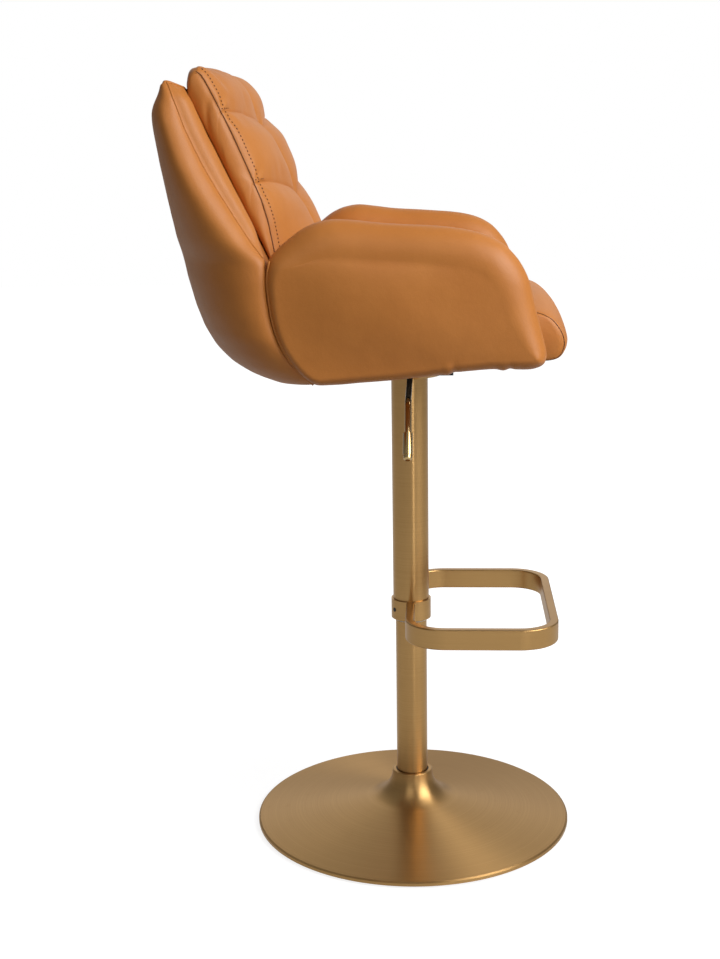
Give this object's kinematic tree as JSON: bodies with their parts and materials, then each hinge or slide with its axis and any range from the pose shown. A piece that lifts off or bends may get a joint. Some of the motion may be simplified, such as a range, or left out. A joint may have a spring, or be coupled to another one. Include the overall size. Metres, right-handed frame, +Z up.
{
  "type": "bar stool",
  "caption": "Height-adjustable swivel bar stool with padded bucket seat, armrests, trumpet base, gas-lift column, lever and looped footrest.",
  "frame": {"origin": "on the floor, on the column's axis", "axes": "+Z up; the sitter faces -Y; +X is the sitter's left, and the lever is at -X"},
  "size_m": [0.56, 0.5521, 1.0523],
  "materials": {
    "brushed_gold": "satin",
    "polished_gold": "polished",
    "cognac_leather": "satin",
    "cast_iron": "matte",
    "white_plastic": "satin",
    "clear_plastic": "satin",
    "black_plastic": "matte",
    "seal_rubber": "matte",
    "zinc_steel": "satin",
    "black_steel": "satin",
    "plywood": "matte",
    "black_cloth": "matte"
  },
  "bodies": {
    "base": {"base_cover": "brushed_gold", "floor_ring": "clear_plastic", "neck_ring": "black_plastic", "base_screws": "zinc_steel", "column_socket": "zinc_steel", "ballast_disc": "cast_iron", "lower_column": "brushed_gold", "guide_bush": "white_plastic", "column_foot": "zinc_steel", "bearing_lower_race": "zinc_steel", "bearing_balls": "zinc_steel"},
    "piston": {"bearing_upper_race": "zinc_steel", "piston_rod": "zinc_steel", "piston_head": "zinc_steel", "retaining_clip": "zinc_steel"},
    "seat": {"gas_cylinder": "black_steel", "gas_seal": "seal_rubber", "upper_column": "brushed_gold", "slide_bush": "white_plastic", "column_plug": "white_plastic", "taper_socket": "black_steel", "mount_dish": "brushed_gold", "footrest_bar": "brushed_gold", "footrest_collar": "brushed_gold", "collar_screws": "zinc_steel", "mechanism_tray": "black_steel", "seat_bolts": "zinc_steel", "tee_nuts": "zinc_steel", "lever_pivot_pin": "zinc_steel", "seat_pan": "plywood", "dust_cover": "black_cloth", "cross_straps": "black_steel", "right_arm_hoop": "black_steel", "left_arm_hoop": "black_steel", "back_board": "plywood", "back_brackets": "black_steel", "right_arm": "cognac_leather", "left_arm": "cognac_leather", "seat_cushion": "cognac_leather", "back_cushion": "cognac_leather", "back_shell": "cognac_leather"},
    "lever": {"lever_rocker": "black_steel", "lever_rod": "polished_gold", "lever_grip": "polished_gold", "lever_tip": "polished_gold"},
    "button": {"valve_button": "zinc_steel"}
  },
  "joints": [
    {"name": "swivel", "type": "hinge", "parent": "base", "child": "piston", "pos_m": [0, 0, 0.02], "axis": [0, 0, 1], "continuous": true},
    {"name": "lift", "type": "slide", "parent": "piston", "child": "seat", "axis": [0, 0, 1], "range_m": [-0.2, 0]},
    {"name": "lever_pull", "type": "hinge", "parent": "seat", "child": "lever", "pos_m": [-0.034, 0, 0.68], "axis": [0, 1, 0], "range_deg": [0, 7], "stiffness_Nm_per_rad": 3, "springref_deg": -5.73},
    {"name": "valve_press", "type": "slide", "parent": "seat", "child": "button", "axis": [0, 0, 1], "range_m": [-0.0042, 0], "stiffness_N_per_m": 500, "springref_m": 0.001}
  ],
  "couplings": [
    {"joint": "valve_press", "follows": "lever_pull", "m_per_rad": -0.03437}
  ]
}
